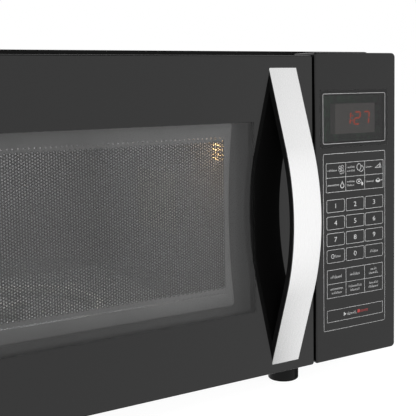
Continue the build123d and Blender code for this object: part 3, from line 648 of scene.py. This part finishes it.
def rounded_ring(left, right, low, high, radius, bow=0.0, corner=8, side=24):
    """Points round a rectangle with rounded corners. The two upright sides bend inwards by bow."""
    points = []
    corners = [(right - radius, high - radius, 0), (left + radius, high - radius, 90),
               (left + radius, low + radius, 180), (right - radius, low + radius, 270)]
    for index, (x, z, start) in enumerate(corners):
        for i in range(corner + 1):
            angle = radians(start + 90 * i / corner)
            points.append((x + radius * cos(angle), z + radius * sin(angle)))
        after = corners[(index + 1) % 4]
        angle = radians(start + 90)
        a = (x + radius * cos(angle), z + radius * sin(angle))
        b = (after[0] + radius * cos(angle), after[1] + radius * sin(angle))
        for i in range(1, side):
            points.append((a[0] + (b[0] - a[0]) * i / side, a[1] + (b[1] - a[1]) * i / side))
    middle, half, centre = (low + high) / 2, (high - low) / 2, (left + right) / 2
    bent = []
    for x, z in points:
        share = max(0.0, 1 - ((z - middle) / half) ** 2)
        reach = (x - centre) / ((right - left) / 2)
        bent.append((x - bow * share * reach, z))
    return bent


def ring_solid(name, rings, finish, replaces=()):
    """Closed piece from rings of points, each (ring, y), joined in order and back to the first."""
    vertices, faces = [], []
    count = len(rings[0][0])
    for ring, y in rings:
        vertices += [(x, y, z) for x, z in ring]
    for k in range(len(rings)):
        a, b = k * count, (k + 1) % len(rings) * count
        for i in range(count):
            j = (i + 1) % count
            faces.append((a + i, a + j, b + j, b + i))
    return piece(name, vertices, faces, finish, "door", replaces, smooth=True)


def platform_ring(margin, radius):
    """Outline of the platform, grown by a margin."""
    left, right, bottom, top = PLATFORM
    return rounded_ring(left - margin, right + margin, bottom - margin, top + margin, radius, PLATFORM_BOW)


def screen_paint(name, level, roughness):
    return coated(name, grey(level), roughness, 1500.0, 0.000008).material


def make_screen():
    low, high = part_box("door_screen")
    face, flange = low.y, high.y - SCREEN_SHEET
    columns = hole_columns()
    half = len(columns) // 2
    web = screen_paint("screen_web", 0.075, 0.5)
    border = screen_paint("screen_border", 0.27, 0.45)
    make_mesh_part("screen_mesh_left", columns[:half], face + MESH_DEPTH, web, border)
    make_mesh_part("screen_mesh_right", columns[half:], face + MESH_DEPTH, web, border)
    left, right, bottom, top = MESH_BOX
    hole = rounded_ring(left - MESH_GAP, right + MESH_GAP, bottom - MESH_GAP, top - HOLE_PITCH + MESH_GAP, 0.5 * MM)
    brow = platform_ring(0.0, 4.0 * MM)
    soft = platform_ring(0.5 * MM, 4.5 * MM)
    foot = platform_ring(SLOPE, 6.0 * MM)
    ring_solid("screen_border", [(hole, face), (brow, face), (soft, face + 0.3 * MM), (foot, flange - 0.2 * MM),
                                 (foot, flange + 0.6 * MM), (soft, face + 1.1 * MM), (brow, face + SCREEN_SHEET),
                                 (hole, face + SCREEN_SHEET)], border, ["door_screen"])
    # The flange is painted far darker than the platform: partly a darker surface, partly painted shade of the
    # recess it lies in.
    strip = screen_paint("screen_flange", 0.095, 0.45)
    inner = platform_ring(SLOPE - MM, 5.0 * MM)
    outer = rounded_ring(low.x, high.x, low.z, high.z, 2.0 * MM)
    back = high.y - 0.02 * MM
    ring_solid("screen_flange", [(inner, flange), (outer, flange), (outer, back), (inner, back)], strip)


def make_latch_spring():
    """Coil spring above the latch hooks, made at one fixed length; the real one shortens as they rise."""
    low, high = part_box("latch_spring")
    middle = (low + high) / 2
    wire, turns, around, sides = 0.5 * MM, 6, 24, 8
    coil = (high.x - low.x) / 2 - wire
    bottom, top = low.z + wire, high.z - wire
    count = turns * around
    vertices, faces = [], []
    for i in range(count + 1):
        turn = 2 * pi * i / around
        out = Vector((cos(turn), sin(turn), 0))
        center = Vector((middle.x, middle.y, bottom + (top - bottom) * i / count)) + out * coil
        for k in range(sides):
            angle = 2 * pi * k / sides
            vertices.append(center + out * wire * cos(angle) + Vector((0, 0, wire * sin(angle))))
    for start in range(0, count * sides, sides):
        for k in range(sides):
            a, b = start + k, start + (k + 1) % sides
            faces.append((a, a + sides, b + sides, b))
    faces.append(tuple(range(sides)))
    faces.append(tuple(reversed(range(count * sides, (count + 1) * sides))))
    spring = piece("latch_coil", vertices, faces, FINISHES["bright_steel"], "door", ["latch_spring"],
                   smooth=True)
    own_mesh(spring)


# ---- prints on the control panel ------------------------------------------------------------
class Print:
    """Flat marks on an upright face, drawn in millimetres from the face's lower left corner."""

    def __init__(self, corner, rise=0.04 * MM, sink=0.02 * MM):
        self.corner = corner
        self.front, self.back = corner.y - rise, corner.y + sink
        self.vertices, self.faces = [], []

    def point(self, u, v, y):
        return (self.corner.x + u * MM, y, self.corner.z + v * MM)

    def patch(self, outline):
        """A filled convex shape."""
        base, count = len(self.vertices), len(outline)
        self.vertices += [self.point(u, v, self.front) for u, v in outline]
        self.vertices += [self.point(u, v, self.back) for u, v in outline]
        self.faces.append(tuple(base + i for i in range(count)))
        self.faces.append(tuple(base + count + i for i in reversed(range(count))))
        for i in range(count):
            j = (i + 1) % count
            self.faces.append((base + i, base + count + i, base + count + j, base + j))

    def loop(self, outer, inner):
        """A closed band between two outlines with the same number of points."""
        base, count = len(self.vertices), len(outer)
        for y in (self.front, self.back):
            self.vertices += [self.point(u, v, y) for u, v in outer]
            self.vertices += [self.point(u, v, y) for u, v in inner]
        for i in range(count):
            j = (i + 1) % count
            a, b, c, d = base, base + count, base + 2 * count, base + 3 * count
            self.faces += [(a + i, a + j, b + j, b + i), (d + i, d + j, c + j, c + i),
                           (c + i, c + j, a + j, a + i), (b + i, b + j, d + j, d + i)]

    def box(self, left, right, low, high):
        self.patch([(left, low), (right, low), (right, high), (left, high)])

    def frame(self, left, right, low, high, radius, width):
        h = width / 2
        self.loop(rounded_outline(left - h, right + h, low - h, high + h, radius + h),
                  rounded_outline(left + h, right - h, low + h, high - h, max(radius - h, 0.05)))

    def line(self, a, b, width):
        du, dv = b[0] - a[0], b[1] - a[1]
        size = hypot(du, dv)
        nu, nv = -dv / size * width / 2, du / size * width / 2
        self.patch([(a[0] + nu, a[1] + nv), (a[0] - nu, a[1] - nv), (b[0] - nu, b[1] - nv), (b[0] + nu, b[1] + nv)])

    def disc(self, u, v, radius, flat=1.0, count=20):
        self.patch([(u + radius * cos(2 * pi * i / count), v + flat * radius * sin(2 * pi * i / count))
                    for i in range(count)])

    def ring(self, u, v, radius, width, flat=1.0, count=24):
        turn = [(cos(2 * pi * i / count), sin(2 * pi * i / count)) for i in range(count)]
        outer, inner = radius + width / 2, radius - width / 2
        self.loop([(u + outer * a, v + flat * outer * b) for a, b in turn],
                  [(u + inner * a, v + (flat * outer - width) * b) for a, b in turn])

    def arc(self, u, v, radius, start, end, width, count=12):
        """Part of a ring, from one angle to another in degrees."""
        angles = [radians(start + (end - start) * i / count) for i in range(count + 1)]
        for a, b in zip(angles, angles[1:]):
            outer, inner = radius + width / 2, radius - width / 2
            self.patch([(u + inner * cos(a), v + inner * sin(a)), (u + outer * cos(a), v + outer * sin(a)),
                        (u + outer * cos(b), v + outer * sin(b)), (u + inner * cos(b), v + inner * sin(b))])

    def bars(self, left, right, low, height, seed):
        """A row of fine upright strokes and short dashes where the real panel has a word."""
        u, step, fine = left, seed, 0.3
        while u < right - fine:
            step = (step * 7 + 3) % 11
            tall = height * (0.66 + 0.34 * (step % 4 == 0))
            self.box(u, u + fine, low, low + tall)
            if step % 2 and u + 3 * fine < right:
                dash = low + (tall - fine) * (step % 3) / 2
                self.box(u + fine, u + 3 * fine, dash, dash + fine)
            u += (2.6 + 0.16 * step) * fine

    def digit(self, text, u, v, height):
        """A digit from the plain built-in font, centred on a point."""
        curve = bpy.data.curves.new("digit", "FONT")
        curve.body = text
        curve.align_x, curve.align_y = "CENTER", "CENTER"
        curve.size = height * FONT_SIZE
        curve.extrude = 0.01
        curve.resolution_u = 4
        holder = bpy.data.objects.new("digit", curve)
        bpy.context.scene.collection.objects.link(holder)
        bpy.context.view_layer.update()
        mesh = bpy.data.meshes.new_from_object(holder)
        heights = [vertex.co.y for vertex in mesh.vertices]
        across = [vertex.co.x for vertex in mesh.vertices]
        mid_v, mid_u = (max(heights) + min(heights)) / 2, (max(across) + min(across)) / 2
        base = len(self.vertices)
        for vertex in mesh.vertices:
            y = self.front if vertex.co.z > 0 else self.back
            self.vertices.append(self.point(u + (vertex.co.x - mid_u) * DIGIT_SPREAD, v + vertex.co.y - mid_v, y))
        self.faces += [tuple(base + i for i in face.vertices) for face in mesh.polygons]
        bpy.data.objects.remove(holder)

    def finish(self, name, ink_finish, body="case", slot=None):
        made = piece(name, self.vertices, self.faces, ink_finish, body)
        build = bmesh.new()
        build.from_mesh(made.data)
        bmesh.ops.remove_doubles(build, verts=build.verts, dist=1e-7)
        build.to_mesh(made.data)
        build.free()
        return made


def rounded_outline(left, right, low, high, radius, corner=5):
    points = []
    for u, v, start in ((right - radius, high - radius, 0), (left + radius, high - radius, 90),
                        (left + radius, low + radius, 180), (right - radius, low + radius, 270)):
        for i in range(corner + 1):
            angle = radians(start + 90 * i / corner)
            points.append((u + radius * cos(angle), v + radius * sin(angle)))
    return points


LINE = 0.36          # width of the printed frames, in millimetres
DIGIT_HEIGHT = 4.6
DIGIT_SPREAD = 1.15  # the digits are this much wider than the built-in font's
FONT_SIZE = 1.37     # size of the built-in font for a digit of height 1
KEY_COLUMNS = ((7.4, 28.1), (30.1, 51.7), (53.2, 75.0))
KEY_ROWS = ((115.0, 126.5), (99.2, 110.9), (83.9, 95.5), (68.2, 80.2))


def grid(panel, left, right, levels, dividers):
    """A framed table: levels from the bottom up, dividers from left to right."""
    panel.frame(left, right, levels[0], levels[-1], 0.3, LINE)
    for level in levels[1:-1]:
        panel.box(left, right, level - LINE / 2, level + LINE / 2)
    for divider in dividers:
        panel.box(divider - LINE / 2, divider + LINE / 2, levels[0], levels[-1])


def draw_popcorn(panel, u, v):
    for du, dv in ((-1.5, 2.4), (1.4, 2.8), (-1.5, -0.2), (1.5, 0.2), (-0.2, -2.6), (2.2, -2.2)):
        panel.ring(u + du, v + dv, 1.25, 0.36)


def draw_bread(panel, u, v):
    panel.ring(u - 1.0, v + 0.8, 2.5, 0.5, 1.2)
    panel.arc(u + 1.6, v - 0.8, 2.7, -140, 85, 0.5)


def draw_slice(panel, u, v):
    panel.line((u - 4.0, v - 1.4), (u + 2.4, v + 2.8), 0.4)
    panel.line((u + 2.4, v + 2.8), (u + 3.6, v - 1.4), 0.4)
    panel.line((u + 3.6, v - 1.4), (u - 4.0, v - 1.4), 0.4)
    for du, dv in ((1.6, 0.9), (-0.2, 0.0), (1.9, -0.4)):
        panel.disc(u + du, v + dv, 0.5)


def draw_cup(panel, u, v):
    panel.ring(u, v - 1.0, 2.0, 0.7)
    panel.disc(u, v + 1.5, 1.1, 0.7)
    panel.line((u, v + 1.6), (u, v + 3.4), 0.7)


def draw_dinner(panel, u, v):
    panel.ring(u - 0.8, v + 0.8, 3.0, 0.5, 0.7)
    panel.disc(u - 0.8, v + 0.8, 1.2, 0.6)
    panel.disc(u + 3.2, v - 1.6, 1.1, 1.5)


def draw_bowl(panel, u, v):
    panel.disc(u - 0.8, v, 3.0, 0.55)
    panel.disc(u - 0.6, v + 1.2, 1.7, 0.6)
    panel.line((u + 1.4, v - 0.2), (u + 4.4, v + 0.4), 0.6)


def draw_presets(panel):
    grid(panel, 6.8, 75.35, (133.5, 146.75, 160.0), (29.7, 52.5))
    draw_popcorn(panel, 24.3, 153.6)
    panel.bars(8.6, 19.6, 152.6, 1.9, 1)
    draw_bread(panel, 46.6, 154.0)
    panel.bars(31.6, 40.6, 154.6, 1.7, 2)
    panel.bars(31.6, 40.6, 151.2, 1.7, 3)
    draw_slice(panel, 69.2, 154.2)
    panel.bars(54.0, 62.0, 153.6, 1.7, 4)
    draw_cup(panel, 25.6, 139.7)
    panel.bars(8.6, 21.8, 139.0, 1.9, 5)
    draw_dinner(panel, 46.4, 140.6)
    panel.bars(31.6, 40.6, 141.2, 1.7, 6)
    panel.bars(31.6, 40.6, 137.8, 1.7, 7)
    draw_bowl(panel, 69.8, 140.6)
    panel.bars(54.0, 63.6, 139.8, 1.7, 8)


def draw_keys(panel):
    digits = iter("123456789")
    for low, high in KEY_ROWS:
        for left, right in KEY_COLUMNS:
            panel.frame(left, right, low, high, 1.3, LINE)
    for low, high in KEY_ROWS[:3]:
        for left, right in KEY_COLUMNS:
            panel.digit(next(digits), (left + right) / 2, (low + high) / 2, DIGIT_HEIGHT)
    low, high = KEY_ROWS[3]
    middle = (low + high) / 2
    panel.digit("0", sum(KEY_COLUMNS[1]) / 2, middle, DIGIT_HEIGHT)
    panel.ring(14.2, middle, 1.75, 0.5)
    panel.line((14.2, middle), (14.2, middle + 1.2), 0.4)
    panel.line((14.2, middle), (15.0, middle), 0.4)
    panel.bars(17.2, 23.4, middle - 1.3, 2.5, 9)
    panel.bars(59.4, 69.0, middle - 1.4, 2.6, 10)


def draw_functions(panel):
    grid(panel, 7.5, 74.7, (35.4, 48.4, 61.5), (29.7, 52.3))
    rows = ((11.6, 25.4, 53.4, 3.0, 1), (34.6, 46.6, 53.7, 2.8, 2), (60.0, 67.2, 55.7, 2.3, 3),
            (57.8, 69.0, 52.2, 2.3, 4), (11.4, 26.2, 42.5, 2.3, 5), (13.0, 25.2, 38.8, 2.3, 6),
            (33.2, 49.4, 42.6, 2.3, 7), (35.2, 46.4, 38.9, 2.3, 8), (58.2, 69.2, 42.6, 2.3, 9),
            (57.4, 69.6, 39.0, 2.3, 10))
    for left, right, low, height, seed in rows:
        panel.bars(left, right, low, height, seed)


def make_prints():
    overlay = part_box("keypad_overlay")[0]
    panel = Print(overlay)
    panel.frame(3.5, 77.6, 5.1, 168.7, 1.6, LINE)
    draw_presets(panel)
    draw_keys(panel)
    draw_functions(panel)
    panel.frame(7.4, 74.75, 12.8, 23.85, 0.3, LINE)
    panel.patch([(27.0, 16.4), (30.2, 18.3), (27.0, 20.2)])
    panel.bars(31.2, 42.4, 16.8, 3.0, 4)
    panel.finish("panel_print", ink("print_white", grey(0.24)), slot="keypad_film")
    red = Print(overlay)
    red.box(43.6, 46.6, 17.2, 20.2)
    red.bars(47.4, 56.6, 17.2, 3.0, 5)
    red.finish("stop_print", ink("print_red", (0.20, 0.015, 0.015)), slot="keypad_film")
    lens = Print(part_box("display_lens")[0])
    lens.frame(3.5, 77.6, 3.4, 48.7, 1.6, LINE)
    lens.finish("display_print", ink("print_grey", grey(0.24)), slot="display_glass")


SEGMENTS = {"1": "bc", "2": "abged", "7": "abc"}


def make_clock():
    """Lit digits on the face of the display module: 1:27."""
    lit = Print(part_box("display_module")[0], 0.15 * MM)
    height, wide, stroke, lean = 11.2, 6.6, 1.5, 0.10
    base = 8.5

    def slanted(u, v):
        return (u + lean * v, base + v)

    def bar(a, b):
        du, dv = b[0] - a[0], b[1] - a[1]
        size = hypot(du, dv)
        cu, cv = du / size * stroke / 2, dv / size * stroke / 2
        corners = [(a[0], a[1]), (a[0] + cu - cv, a[1] + cv + cu), (b[0] - cu - cv, b[1] - cv + cu),
                   (b[0], b[1]), (b[0] - cu + cv, b[1] - cv - cu), (a[0] + cu + cv, a[1] + cv - cu)]
        lit.patch([slanted(u, v) for u, v in corners])

    def show(character, left):
        gap = 0.25
        right, top, half = left + wide, height, height / 2
        ends = {"a": ((left + gap, top), (right - gap, top)), "b": ((right, half + gap), (right, top - gap)),
                "c": ((right, gap), (right, half - gap)), "d": ((left + gap, 0), (right - gap, 0)),
                "e": ((left, gap), (left, half - gap)), "f": ((left, half + gap), (left, top - gap)),
                "g": ((left + gap, half), (right - gap, half))}
        for name in SEGMENTS[character]:
            bar(*ends[name])

    show("1", 10.9)
    show("2", 22.3)
    show("7", 33.3)
    for v in (height * 0.3, height * 0.7):
        u, w = slanted(19.9, v)
        lit.disc(u, w, 0.75)
    lit.finish("clock_digits", led_lit(), slot="led_red")


# ---- everything -----------------------------------------------------------------------------
make_camera()
make_world()
make_floor()
make_dark_card()
make_lights()
paint_cad_nodes()
make_handle_strip()
make_screen()
make_latch_spring()
make_prints()
make_clock()
bpy.context.scene.view_settings.view_transform = "Standard"
